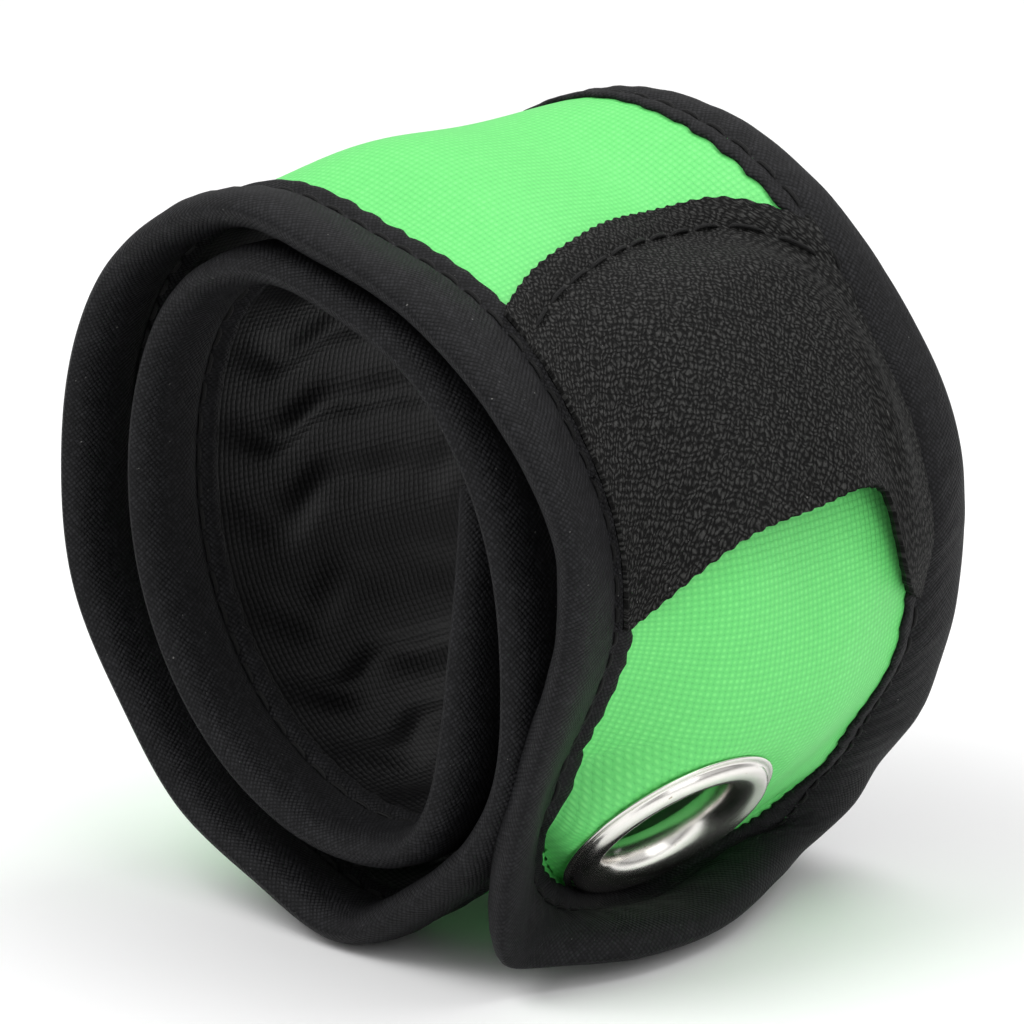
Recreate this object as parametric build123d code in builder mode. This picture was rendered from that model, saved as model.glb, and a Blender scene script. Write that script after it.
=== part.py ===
"""Roll-up fabric wrist strap with an elastic pocket, a slip-in pocket insert and a plated eyelet.

Frame: millimetres, +Z up, the strap is rolled about an axis along Y. The origin is the middle of
the bottom of the whole part's box. The strap is described by one route in the XZ plane, which runs
from the eyelet end round the outer turn and the inner turns to the inner end. An offset from the
route is positive on the strap's green side and negative on its lining side.
"""

import os
from math import atan2, cos, hypot, radians, sin, tan

from build123d import *

# ---------------------------------------------------------------- driving dimensions (mm)
STRAP_WIDTH = 50.0
FABRIC = 0.4  # green cover fabric
CORE = 0.8  # soft interlining between cover and lining
LINING = 0.3
LAYER_GAP = 0.05
TAPE = 0.35  # binding tape, one layer
TAPE_COVER = 9.0  # how far the folded tape reaches onto each face
SEAM_FROM_SELVEDGE = 2.0  # seam row to the tape's inner selvedge
THREAD = 0.12  # thickness of a seam row, which lies in a groove of the tape
THREAD_WIDTH = 0.5
GROOVE_WIDTH = 0.6
GROOVE_DEPTH = 0.15
HINGE_GAP = 0.3  # slit between two bodies of the strap
FOLD_RADIUS = 1.6  # sharp fold between the eyelet's seat and the lip of the end
BELLY_RADIUS = 7.0  # bend of the outer turn above the eyelet's seat
CORNER_RADIUS = 9.0  # rounded corners of the strap's eyelet end

ELASTIC = 0.95  # thickness of the wide elastic
POCKET_UPPER_EDGE = -13.4  # from the middle of the pocket's run, up the strap
POCKET_LENGTH = 26.9  # along the strap, upper edge to free edge
POCKET_SEAM = 3.0  # seam row to the elastic's upper edge
POCKET_STITCHED = 3.4  # stretch of the elastic that lies flat on the panel
POCKET_EDGE_OUT = -0.9  # the elastic's outside at its upper edge, out from the pocket's run
POCKET_STITCHED_OUT = 0.8  # and where the flat stretch ends
POCKET_HOLLOW = 28.6  # the pocket's clear width
POCKET_DEPTH = 2.8  # and its clear depth over the cover
POCKET_RISE = -9.1  # where its full depth starts, down from the panel's middle
INSERT_UPPER_END = -6.5
INSERT_LENGTH = 15.0
INSERT_WIDTH = 15.0
INSERT_THICKNESS = 1.0
INSERT_Y = 4.5  # the elastic stands highest right of the middle
INSERT_CLEARANCE = 0.3
INSERT_CORNER = 2.5
INSERT_EDGE = 0.3  # rounding of the insert's outer edge

EYELET_Y = -4.5  # the eyelet sits a little to the left of the strap's middle
EYELET_HOLE_RADIUS = 6.0
EYELET_FLANGE_RADIUS = 10.0
EYELET_WALL = 0.4
EYELET_CREST_RADIUS = 8.9
EYELET_CREST_HEIGHT = 1.45
EYELET_RIM = 0.25  # thickness of the flange at its edge
EYELET_RIM_WIDTH = 0.3  # flat edge of the flange, outside the dome
EYELET_MOUTH_HEIGHT = 0.15  # the hole's edge over the green face
EYELET_SHOULDER = (0.13, 0.42)  # dome's outer side at mid-rise: in from the rim, down from the crest
EYELET_FUNNEL = (7.4, 0.33)  # dome's inner side: radius, and distance down from the crest
EYELET_ROLL = 1.4  # the barrel's rolled end stands out this far past the hole
WASHER_RADIUS = 9.5
WASHER_THICKNESS = 0.5
FIT = 0.1  # clearance between the eyelet's barrel and what it passes through

OVERCUT = 1.0  # cutting solids reach this far past what they cut

# The route, worked through in a drawing whose x origin is off the box's middle.
DRAWING_SHIFT_X = -2.84
EYELET_SEAT = (21.86, 10.69)  # point of the route under the eyelet's centre
SEAT_SLOPE = radians(42.8)  # the seat rises towards +X at this angle
FLOOR_LINE = 1.2  # route height where the bound strap lies on the ground

# Corners of the route. The curve is made of runs between them joined by tangent arcs.
FLAP_END = (24.8, FLOOR_LINE)
FLAP_BELLY = (31.3, 19.4)
PANEL_CORNERS = [(31.2, 33.5), (28.6, 43.0), (18.4, 54.2)]
ROLL_CORNERS = [
    (5.5, 60.2), (-8.0, 63.2), (-20.6, 58.0), (-27.6, 46.5), (-29.6, 32.5), (-26.4, 19.8),
    (-17.2, 7.6), (-7.5, FLOOR_LINE), (6.5, FLOOR_LINE), (20.2, 13.8), (23.4, 21.0),
    (23.3, 32.5), (19.6, 43.4), (11.8, 51.9), (0.6, 56.6), (-9.6, 58.8), (-19.0, 53.4),
    (-23.6, 43.2), (-23.7, 30.6), (-19.2, 19.8), (-10.6, 10.4), (0.5, 5.0), (9.4, 7.2),
    (14.4, 17.0), (15.3, 25.2),
]
INNER_END = (18.0, 38.6)

# ---------------------------------------------------------------- derived values
BODY_HALF = (FABRIC + CORE + LINING + 2 * LAYER_GAP) / 2
BOUND_HALF = BODY_HALF + LAYER_GAP + TAPE
HALF_WIDTH = STRAP_WIDTH / 2
LAYER_HALF_WIDTH = HALF_WIDTH - TAPE - LAYER_GAP
WINDOW_HALF = HALF_WIDTH - TAPE_COVER  # half of the strap's width between the two bindings
SEAM_Y = WINDOW_HALF + SEAM_FROM_SELVEDGE
COVER_INSIDE = BODY_HALF - FABRIC
LINING_INSIDE = -BODY_HALF + LINING


# ---------------------------------------------------------------- route geometry
def run(start, end):
    """Unit direction and length of the straight run between two points."""
    dx, dz = end[0] - start[0], end[1] - start[1]
    length = hypot(dx, dz)
    return (dx / length, dz / length), length


def along(start, end, distance):
    """Point at a distance from start towards end."""
    (dx, dz), _ = run(start, end)
    return start[0] + distance * dx, start[1] + distance * dz


def turn(before, corner, after):
    """Signed turn of the route at a corner, positive to the left."""
    (ax, az), _ = run(before, corner)
    (bx, bz), _ = run(corner, after)
    return atan2(ax * bz - az * bx, ax * bx + az * bz)


def arc_radius(before, corner, after):
    """Radius of the largest arc that leaves a tenth of the shorter run straight."""
    shorter = min(run(before, corner)[1], run(corner, after)[1])
    return 0.45 * shorter / tan(abs(turn(before, corner, after)) / 2)


def offset_corners(corners, distance):
    """Corners of the route moved to its right (its green side) by a distance."""
    moved = []
    for i, (x, z) in enumerate(corners):
        before = corners[max(i - 1, 0)]
        after = corners[min(i + 1, len(corners) - 1)]
        if i in (0, len(corners) - 1):
            (dx, dz), _ = run(before, after)
            stretch = 1.0
        else:
            (ax, az), _ = run(before, corners[i])
            (bx, bz), _ = run(corners[i], after)
            dx, dz = ax + bx, az + bz
            size = hypot(dx, dz)
            dx, dz = dx / size, dz / size
            stretch = 1 / cos(turn(before, corners[i], after) / 2)
        moved.append((x + distance * stretch * dz, z - distance * stretch * dx))
    return moved


def offset_radii(corners, radii, distance):
    """Radii of the arcs on the offset route."""
    result = []
    for i, radius in enumerate(radii):
        left = turn(corners[i], corners[i + 1], corners[i + 2]) > 0
        result.append(radius + distance if left else radius - distance)
    return result


class Route:
    """A stretch of the strap: its corners and the arc radius at each inner corner."""

    def __init__(self, corners, radii):
        self.corners = corners
        self.radii = radii

    def side(self, distance):
        """The stretch's line on one side of the route, drawn in the active BuildLine."""
        points = offset_corners(self.corners, distance)
        if not self.radii:
            return Line(*points)
        return FilletPolyline(*points, radius=offset_radii(self.corners, self.radii, distance))

    def shortened(self, start=0.0, end=0.0):
        """The same stretch, cut back along its first and last runs."""
        first = along(self.corners[0], self.corners[1], start)
        last = along(self.corners[-1], self.corners[-2], end)
        return Route([first, *self.corners[1:-1], last], self.radii)


def strip_face(route, inner, outer, y_high):
    """Face between two offsets of a stretch, on the plane y = y_high."""
    with BuildSketch(Plane.XZ.offset(-y_high)) as face:
        with BuildLine():
            high = route.side(outer)
            low = route.side(inner)
            Line(high @ 0, low @ 0)
            Line(high @ 1, low @ 1)
        make_face()
    return face.sketch


def strip(route, inner, outer, y_low, y_high, mode=Mode.ADD):
    """Extrude a strip of the strap in the active BuildPart, from y_low to y_high."""
    extrude(strip_face(route, inner, outer, y_high), amount=y_high - y_low, dir=(0, -1, 0), mode=mode)


# ---------------------------------------------------------------- the strap's three stretches
def drawn(point):
    """A point of the drawing in the part's frame."""
    return point[0] + DRAWING_SHIFT_X, point[1]


seat = drawn(EYELET_SEAT)
seat_fall = (seat[1] - FLOOR_LINE) / sin(SEAT_SLOPE)
FOLD = (seat[0] - seat_fall * cos(SEAT_SLOPE), FLOOR_LINE)

corners = [drawn(FLAP_END), FOLD, drawn(FLAP_BELLY)]
corners += [drawn(p) for p in PANEL_CORNERS + ROLL_CORNERS + [INNER_END]]
radii = [FOLD_RADIUS, BELLY_RADIUS]
radii += [arc_radius(*corners[i - 1:i + 2]) for i in range(3, len(corners) - 1)]

PANEL_FIRST = 3  # the panel's first corner in the whole route
PANEL_LAST = PANEL_FIRST + len(PANEL_CORNERS) - 1


def slit(i):
    """The two ends of the slit in the middle of the run from corner i to corner i + 1."""
    a, b = corners[i], corners[i + 1]
    half = run(a, b)[1] / 2
    return along(a, b, half - HINGE_GAP / 2), along(a, b, half + HINGE_GAP / 2)


def hinge_axis(i):
    """Where the slit's hinge axis crosses the XZ plane, on the binding's green side."""
    a, b = corners[i], corners[i + 1]
    (dx, dz), length = run(a, b)
    out = BOUND_HALF + LAYER_GAP
    return a[0] + length / 2 * dx + out * dz, a[1] + length / 2 * dz - out * dx


flap_stop, panel_start = slit(PANEL_FIRST - 1)
panel_stop, roll_start = slit(PANEL_LAST)
print("flap hinge axis (x, z):", hinge_axis(PANEL_FIRST - 1))
print("panel hinge axis (x, z):", hinge_axis(PANEL_LAST))

flap = Route([*corners[:PANEL_FIRST], flap_stop], radii[:2])
panel = Route(
    [panel_start, *corners[PANEL_FIRST:PANEL_LAST + 1], panel_stop],
    radii[PANEL_FIRST - 1:PANEL_LAST],
)
roll = Route([roll_start, *corners[PANEL_LAST + 1:]], radii[PANEL_LAST:])


# ---------------------------------------------------------------- shared building steps
LIP_END = corners[0][0]
TAPE_INSET = TAPE + LAYER_GAP  # from the strap's outline to the layers inside the tape
layers = {
    "roll": roll.shortened(end=TAPE_INSET),
    "panel": panel,
    "flap": flap.shortened(start=TAPE_INSET),
}
eyelet_plane = Plane(
    origin=(seat[0], EYELET_Y, seat[1]),
    x_dir=(cos(SEAT_SLOPE), 0, sin(SEAT_SLOPE)),
    z_dir=(sin(SEAT_SLOPE), 0, -cos(SEAT_SLOPE)),
)


def rounded_end(box_end, radius):
    """Plan view of the strap's eyelet end, rounded, reaching back over the whole flap."""
    reach = 2 * STRAP_WIDTH
    inset = LIP_END - box_end
    with BuildSketch(Plane.XY.offset(-OVERCUT)) as plan:
        with Locations((box_end - reach / 2, 0)):
            Rectangle(reach, STRAP_WIDTH - 2 * inset)
        fillet(plan.vertices().group_by(Axis.X)[-1], radius=radius - inset)
    return plan.sketch


def trim_to_rounded_end(box_end):
    """Cut the lip's upright corners of the active part round, leaving what is above the lip."""
    lip_top = FLOOR_LINE + BOUND_HALF + LAYER_GAP
    with BuildSketch(Plane.XY.offset(-OVERCUT)) as corner_blocks:
        with Locations((box_end, 0)):
            Rectangle(2 * CORNER_RADIUS, 2 * STRAP_WIDTH)
        add(rounded_end(box_end, CORNER_RADIUS), mode=Mode.SUBTRACT)
    extrude(corner_blocks.sketch, amount=OVERCUT + lip_top, dir=(0, 0, 1), mode=Mode.SUBTRACT)


def bore_through(radius):
    """Cut the eyelet's passage through the active part."""
    with BuildSketch(eyelet_plane.offset(-2 * BOUND_HALF)) as hole:
        Circle(radius)
    direction = eyelet_plane.z_dir
    extrude(hole.sketch, amount=4 * BOUND_HALF, dir=direction, mode=Mode.SUBTRACT)


def layer(name, inner, outer):
    """One layer of the strap over one stretch, inside the tape, with the eyelet's hole."""
    strip(layers[name], inner, outer, -LAYER_HALF_WIDTH, LAYER_HALF_WIDTH)
    if name == "flap":
        trim_to_rounded_end(LAYER_END)
        bore_through(EYELET_HOLE_RADIUS + EYELET_WALL + FIT)


def seam_row(route, side, width, bottom, top, mode=Mode.ADD):
    """A row along one binding, on both faces, between two depths under the tape's surface."""
    for face in (-1, 1):
        offsets = sorted((face * (BOUND_HALF - bottom), face * (BOUND_HALF - top)))
        centre = side * SEAM_Y
        strip(route, *offsets, centre - width / 2, centre + width / 2, mode=mode)


def seam_groove(route, side):
    """Sink the seam's groove into the active part's tape."""
    seam_row(route, side, GROOVE_WIDTH, GROOVE_DEPTH, -LAYER_GAP, mode=Mode.SUBTRACT)


def side_tape(route, side):
    """Binding tape folded over one long edge: side is -1 at -Y and 1 at +Y."""
    outline = sorted((side * HALF_WIDTH, side * WINDOW_HALF))
    hollow = sorted((side * (HALF_WIDTH - TAPE), side * (WINDOW_HALF - OVERCUT)))
    strip(route, -BOUND_HALF, BOUND_HALF, *outline)
    strip(route, -BODY_HALF - LAYER_GAP, BODY_HALF + LAYER_GAP, *hollow, mode=Mode.SUBTRACT)
    seam_groove(route, side)


def finish(piece, name):
    """Label a finished piece and write its STEP file."""
    piece.part.label = name
    export_step(piece.part, f"parts/{name}.step")


LAYER_END = LIP_END - TAPE_INSET
os.makedirs("parts", exist_ok=True)

# ---------------------------------------------------------------- cover, core and lining
for stretch in layers:
    with BuildPart() as outer_fabric:
        layer(stretch, COVER_INSIDE, BODY_HALF)
    finish(outer_fabric, f"outer_fabric_{stretch}")

    with BuildPart() as foam_core:
        layer(stretch, LINING_INSIDE + LAYER_GAP, COVER_INSIDE - LAYER_GAP)
    finish(foam_core, f"foam_core_{stretch}")

    with BuildPart() as lining:
        layer(stretch, -BODY_HALF, LINING_INSIDE)
    finish(lining, f"lining_{stretch}")

# ---------------------------------------------------------------- binding of roll and panel
for stretch, route in (("roll", roll), ("panel", panel)):
    for side, side_name in ((-1, "left"), (1, "right")):
        with BuildPart() as binding:
            side_tape(route, side)
        finish(binding, f"binding_{side_name}_{stretch}")

with BuildPart() as binding_inner_end:
    tail_start = along(corners[-1], corners[-2], TAPE_COVER)
    tail = Route([tail_start, corners[-1]], [])
    span = WINDOW_HALF - LAYER_GAP
    strip(tail, -BOUND_HALF, BOUND_HALF, -span, span)
    hollow = tail.shortened(start=-OVERCUT, end=TAPE)
    cut = span + OVERCUT
    strip(hollow, -BODY_HALF - LAYER_GAP, BODY_HALF + LAYER_GAP, -cut, cut, mode=Mode.SUBTRACT)
finish(binding_inner_end, "binding_inner_end")

# ---------------------------------------------------------------- binding round the eyelet end
seamed_flap = flap.shortened(start=TAPE_COVER - SEAM_FROM_SELVEDGE)


def end_row(width, bottom, top, mode=Mode.ADD):
    """The seam across the lip, on its upper face, between two depths under the tape's surface."""
    lip_top = FLOOR_LINE + BOUND_HALF
    with BuildSketch(Plane.XY.offset(lip_top - bottom)) as row:
        with Locations((LIP_END - TAPE_COVER + SEAM_FROM_SELVEDGE, 0)):
            Rectangle(width, 2 * SEAM_Y + width)
    extrude(row.sketch, amount=bottom - top, dir=(0, 0, 1), mode=mode)


with BuildPart() as binding_flap:
    strip(flap, -BOUND_HALF, BOUND_HALF, -HALF_WIDTH, HALF_WIDTH)
    trim_to_rounded_end(LIP_END)
    lip_hollow = flap.shortened(start=TAPE)
    with BuildPart(mode=Mode.PRIVATE) as flap_inside:
        strip(lip_hollow, -BODY_HALF - LAYER_GAP, BODY_HALF + LAYER_GAP,
              TAPE - HALF_WIDTH, HALF_WIDTH - TAPE)
        trim_to_rounded_end(LIP_END - TAPE)
    add(flap_inside.part, mode=Mode.SUBTRACT)
    window = flap.shortened(start=TAPE_COVER)
    through = BOUND_HALF + LAYER_GAP
    strip(window, -through, through, -WINDOW_HALF, WINDOW_HALF, mode=Mode.SUBTRACT)
    for side in (-1, 1):
        seam_groove(seamed_flap, side)
    end_row(GROOVE_WIDTH, GROOVE_DEPTH, -LAYER_GAP, mode=Mode.SUBTRACT)
finish(binding_flap, "binding_flap")

# ---------------------------------------------------------------- seams
for stretch, route in (("roll", roll), ("panel", panel), ("flap", seamed_flap)):
    with BuildPart() as seam_thread:
        for side in (-1, 1):
            seam_row(route, side, THREAD_WIDTH, GROOVE_DEPTH, GROOVE_DEPTH - THREAD)
        if stretch == "flap":
            end_row(THREAD_WIDTH, GROOVE_DEPTH, GROOVE_DEPTH - THREAD)
    finish(seam_thread, f"seam_thread_{stretch}")

# ---------------------------------------------------------------- elastic pocket and its insert
pocket_low, pocket_high = corners[PANEL_LAST - 1], corners[PANEL_LAST]
(down_x, down_z), pocket_run = run(pocket_high, pocket_low)
pocket_middle = along(pocket_high, pocket_low, pocket_run / 2)

INSERT_LIFT = BODY_HALF + INSERT_CLEARANCE
POCKET_INSIDE = BODY_HALF + POCKET_DEPTH
POCKET_OUTSIDE = POCKET_INSIDE + ELASTIC
POCKET_FREE_EDGE = POCKET_UPPER_EDGE + POCKET_LENGTH
STITCHED_END = POCKET_UPPER_EDGE + POCKET_STITCHED
BELOW_PANEL = -6.0  # outlines reach this far inside the strap before the strap is cut away


def pocket_point(down, out):
    """A point beside the panel: down along the pocket, out from the route."""
    x = pocket_middle[0] + down * down_x - out * down_z
    z = pocket_middle[1] + down * down_z + out * down_x
    return x, z


def pocket_slab(points, half_width, mode=Mode.ADD):
    """Extrude an outline given beside the panel across the strap, the same distance each way."""
    with BuildSketch(Plane.XZ.offset(-half_width)) as outline:
        with BuildLine():
            Polyline(*[pocket_point(*point) for point in points], close=True)
        make_face()
    extrude(outline.sketch, amount=2 * half_width, dir=(0, -1, 0), mode=mode)


with BuildPart() as elastic_pocket:
    outside = [
        (POCKET_UPPER_EDGE, BELOW_PANEL), (POCKET_UPPER_EDGE, POCKET_EDGE_OUT),
        (STITCHED_END, POCKET_STITCHED_OUT),
        (POCKET_RISE - ELASTIC, POCKET_OUTSIDE), (POCKET_FREE_EDGE, POCKET_OUTSIDE),
        (POCKET_FREE_EDGE, BELOW_PANEL),
    ]
    pocket_slab(outside, WINDOW_HALF - LAYER_GAP)
    inside = [
        (POCKET_RISE, BELOW_PANEL), (POCKET_RISE, POCKET_INSIDE),
        (POCKET_FREE_EDGE + OVERCUT, POCKET_INSIDE), (POCKET_FREE_EDGE + OVERCUT, BELOW_PANEL),
    ]
    pocket_slab(inside, POCKET_HOLLOW / 2, mode=Mode.SUBTRACT)
    under = Route(
        corners[PANEL_FIRST - 1:PANEL_LAST + 2], radii[PANEL_FIRST - 1:PANEL_LAST]
    )
    strip(under, 2 * BELOW_PANEL, BODY_HALF + LAYER_GAP, -HALF_WIDTH, HALF_WIDTH, mode=Mode.SUBTRACT)
finish(elastic_pocket, "elastic_pocket")

with BuildPart() as pocket_insert:
    insert_middle = pocket_point(INSERT_UPPER_END + INSERT_LENGTH / 2, INSERT_LIFT)
    plate_plane = Plane(
        origin=(insert_middle[0], INSERT_Y, insert_middle[1]),
        x_dir=(down_x, 0, down_z),
        z_dir=(-down_z, 0, down_x),
    )
    with BuildSketch(plate_plane):
        RectangleRounded(INSERT_LENGTH, INSERT_WIDTH, INSERT_CORNER)
    extrude(amount=INSERT_THICKNESS)
    fillet(pocket_insert.edges().group_by(Axis(plate_plane.origin, plate_plane.z_dir))[-1], INSERT_EDGE)
finish(pocket_insert, "pocket_insert")

with BuildPart() as pocket_seam_thread:
    seam_low = pocket_point(POCKET_UPPER_EDGE, POCKET_EDGE_OUT)
    seam_high = pocket_point(STITCHED_END, POCKET_STITCHED_OUT)
    (seam_x, seam_z), _ = run(seam_low, seam_high)
    seam_middle = along(seam_low, seam_high, POCKET_SEAM)
    with BuildSketch(Plane(
        origin=(seam_middle[0], 0, seam_middle[1]), x_dir=(seam_x, 0, seam_z),
        z_dir=(-seam_z, 0, seam_x),
    )):
        Rectangle(THREAD_WIDTH, 2 * WINDOW_HALF - THREAD_WIDTH)
    extrude(amount=THREAD)
finish(pocket_seam_thread, "pocket_seam_thread")

# ---------------------------------------------------------------- eyelet and washer
GREEN_FACE = BODY_HALF + LAYER_GAP
LINING_FACE = -BODY_HALF - LAYER_GAP
axis_plane = Plane(
    origin=eyelet_plane.origin, x_dir=eyelet_plane.x_dir, z_dir=(0, 1, 0)
)
eyelet_axis = Axis(eyelet_plane.origin, eyelet_plane.z_dir)
ROLLED_RADIUS = EYELET_HOLE_RADIUS + EYELET_ROLL
roll_top = LINING_FACE - WASHER_THICKNESS - LAYER_GAP
barrel = EYELET_HOLE_RADIUS + EYELET_WALL

with BuildPart() as eyelet:
    with BuildSketch(axis_plane):
        with BuildLine():
            crest = (EYELET_CREST_RADIUS, GREEN_FACE + EYELET_CREST_HEIGHT)
            foot = (EYELET_FLANGE_RADIUS - EYELET_RIM_WIDTH, GREEN_FACE + EYELET_RIM)
            mouth = (EYELET_HOLE_RADIUS, GREEN_FACE + EYELET_MOUTH_HEIGHT)
            shoulder = (foot[0] - EYELET_SHOULDER[0], crest[1] - EYELET_SHOULDER[1])
            funnel = (EYELET_FUNNEL[0], crest[1] - EYELET_FUNNEL[1])
            Polyline(
                mouth, (EYELET_HOLE_RADIUS, roll_top - EYELET_WALL),
                (ROLLED_RADIUS, roll_top - EYELET_WALL), (ROLLED_RADIUS, roll_top),
                (barrel, roll_top), (barrel, GREEN_FACE), (EYELET_FLANGE_RADIUS, GREEN_FACE),
                (EYELET_FLANGE_RADIUS, GREEN_FACE + EYELET_RIM), foot,
            )
            ThreePointArc(foot, shoulder, crest)
            ThreePointArc(crest, funnel, mouth)
        make_face()
    revolve(axis=eyelet_axis)
finish(eyelet, "eyelet")

with BuildPart() as eyelet_washer:
    with BuildSketch(eyelet_plane.offset(LINING_FACE - WASHER_THICKNESS)):
        Circle(WASHER_RADIUS)
        Circle(barrel + FIT, mode=Mode.SUBTRACT)
    extrude(amount=WASHER_THICKNESS)
finish(eyelet_washer, "eyelet_washer")
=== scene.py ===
"""The looks of the rolled wrist strap: cloth, binding, stitches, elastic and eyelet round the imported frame.

The strap is one surface: s runs along it in millimetres from the eyelet end, and v runs across it
from -25 at the left edge to 25 at the right one. A height is over that middle surface, positive on
the green side. Points are in the millimetres of a drawing. They move by DRAWING_SHIFT_X to the part's
own x, and go to metres, when a mesh is made.
"""

from math import cos, pi, radians, sin

import bpy
import numpy as np
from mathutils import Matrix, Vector


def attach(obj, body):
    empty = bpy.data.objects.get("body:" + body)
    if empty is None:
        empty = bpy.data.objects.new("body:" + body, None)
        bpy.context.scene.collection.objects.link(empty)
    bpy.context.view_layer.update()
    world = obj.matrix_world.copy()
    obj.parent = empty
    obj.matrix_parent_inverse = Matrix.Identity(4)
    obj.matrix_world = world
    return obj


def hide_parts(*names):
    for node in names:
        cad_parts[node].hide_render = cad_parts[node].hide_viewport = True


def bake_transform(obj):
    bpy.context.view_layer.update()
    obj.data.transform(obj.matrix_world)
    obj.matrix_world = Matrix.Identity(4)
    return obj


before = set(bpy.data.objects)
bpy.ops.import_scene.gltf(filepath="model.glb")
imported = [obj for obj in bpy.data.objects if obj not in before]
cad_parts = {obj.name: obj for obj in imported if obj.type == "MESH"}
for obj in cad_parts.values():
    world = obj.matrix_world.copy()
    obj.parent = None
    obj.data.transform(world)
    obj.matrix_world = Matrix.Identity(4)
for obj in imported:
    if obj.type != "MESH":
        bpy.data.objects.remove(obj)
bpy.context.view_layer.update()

# ---------------------------------------------------------------- the strap's shape (mm)
DRAWING_SHIFT_X = -2.84
HALF_WIDTH = 25.0
END_RADIUS = 15.0  # rounded corners of the eyelet end, in the flat
EYELET_S = 22.7  # where on the strap the eyelet's middle is
EYELET_V = -4.5
EYELET_CENTRE = np.array([21.86, -4.5, 10.69])
EYELET_NORMAL = np.array([0.724, -0.067, -0.687])
SEAT_RADIUS = 9.4  # the cloth is flat within this of the eyelet's middle
SEAT_FADE = 12.8  # and past this it is left as it was

# The flap, from the eyelet end up: (x, z) at each of COLUMNS, left to right.
COLUMNS = np.array([-25.0, -16.7, -8.3, 0.0, 8.3, 16.7, 25.0])
FLAP_ROWS = [
    [(24.5, -1.5), (25.6, 0.9), (26.3, 1.2), (25.8, 1.3), (23.2, 1.7), (20.0, 1.2), (19.0, 0.5)],
    [(23.4, 0.5), (21.9, 2.6), (21.3, 1.7), (20.8, 1.4), (19.2, 2.6), (18.9, 3.5), (19.4, 3.2)],
    [(22.9, 2.4), (18.9, 4.6), (16.9, 2.2), (16.2, 1.4), (16.6, 3.4), (18.6, 6.2), (20.0, 6.0)],
    [(22.9, 4.2), (17.6, 7.2), (14.7, 4.0), (14.5, 3.2), (15.8, 5.2), (19.2, 8.6), (20.9, 8.6)],
    [(23.1, 6.4), (17.8, 9.8), (16.2, 6.1), (16.0, 5.3), (17.6, 6.6), (20.8, 10.6), (22.6, 11.0)],
    [(24.6, 13.4), (19.5, 14.6), (21.9, 11.1), (22.4, 10.7), (22.9, 11.4), (24.0, 15.0), (26.0, 15.5)],
    [(26.6, 20.0), (22.4, 19.6), (26.2, 16.4), (27.6, 15.7), (27.6, 16.4), (26.9, 19.2), (27.7, 20.6)],
    [(28.1, 24.8), (25.2, 24.2), (28.9, 21.4), (30.5, 20.8), (30.2, 21.2), (28.9, 23.4), (28.7, 24.8)],
    [(29.4, 29.6), (27.3, 28.6), (30.4, 26.6), (31.5, 26.0), (31.2, 26.4), (29.8, 28.2), (29.2, 29.6)],
]
# The rest of the strap: the middle (x, z), then how far the left and right edges lie from it.
ROLL_ROWS = [
    (31.4, 31.5, -1.4, 2.0, -2.4, 2.4),
    (30.4, 37.2, -0.3, 0.9, -1.7, 0.9),
    (27.8, 42.8, 0.3, -0.1, -0.8, 0.1),
    (23.6, 48.4, 0.0, -0.4, -0.1, -0.2),
    (18.2, 53.4, -0.6, -0.8, 0.2, -0.2),
    (10.6, 57.9, -0.4, -1.2, -0.2, 1.2),
    (1.6, 61.8, -0.2, -2.4, -0.2, 0.6),
    (-8.4, 63.4, -0.2, -2.4, 0.3, -0.4),
    (-17.0, 59.9, -0.2, -1.8, 0.0, -0.3),
    (-24.0, 53.0, -0.5, -0.6, 0.0, -0.1),
    (-28.0, 44.2, -0.7, -0.1, 0.0, 0.2),
    (-29.3, 34.5, -0.7, 0.0, 0.0, 0.0),
    (-28.0, 24.4, -0.6, 0.0, 0.0, 0.0),
    (-22.4, 15.4, -0.3, -0.2, 0.0, 0.0),
    (-15.0, 7.2, -0.2, 0.2, 0.0, 0.0),
    (-6.4, 3.0, 0.3, 0.4, 0.0, 0.0),
    (3.0, 1.4, 0.6, -0.6, 0.0, 0.0),
    (9.9, 4.3, 0.6, 0.2, 0.0, 0.0),
    (16.7, 10.9, 1.4, -0.4, 0.0, 0.0),
    (21.3, 17.6, 0.9, -0.2, 0.0, 0.0),
    (23.0, 26.4, 0.1, 0.0, 0.0, 0.0),
    (22.0, 35.6, 0.1, 0.0, 0.0, 0.0),
    (18.2, 44.2, 0.2, 0.0, 0.0, 0.0),
    (12.0, 50.6, 0.2, 0.2, 0.0, 0.0),
    (3.2, 54.7, 0.0, 0.0, 0.0, 0.0),
    (-6.2, 56.5, 0.0, -0.2, 0.0, 0.0),
    (-13.8, 53.8, 0.0, -0.2, 0.0, 0.0),
    (-19.0, 47.2, 0.2, 0.0, 0.0, 0.0),
    (-21.1, 38.4, 0.0, 0.0, 0.0, 0.0),
    (-20.4, 28.6, 0.0, 0.0, 0.0, 0.0),
    (-16.4, 19.6, 0.0, 0.0, 0.0, 0.0),
    (-9.8, 12.8, 0.0, 0.0, 0.0, 0.0),
    (-1.8, 9.0, 0.0, 0.0, 0.0, 0.0),
    (5.8, 8.4, 0.0, 0.0, 0.0, 0.0),
    (12.6, 11.2, 0.0, 0.0, 0.0, 0.0),
    (15.8, 18.4, 0.0, 0.0, 0.0, 0.0),
    (16.8, 27.0, 0.0, 0.0, 0.0, 0.0),
    (16.6, 34.5, 0.0, 0.0, 0.0, 0.0),
    (14.8, 41.0, 0.0, 0.0, 0.0, 0.0),
]
INNER_DRIFT = [0.3, 1.5, 3.8]  # how far the last rows lie to the right
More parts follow.
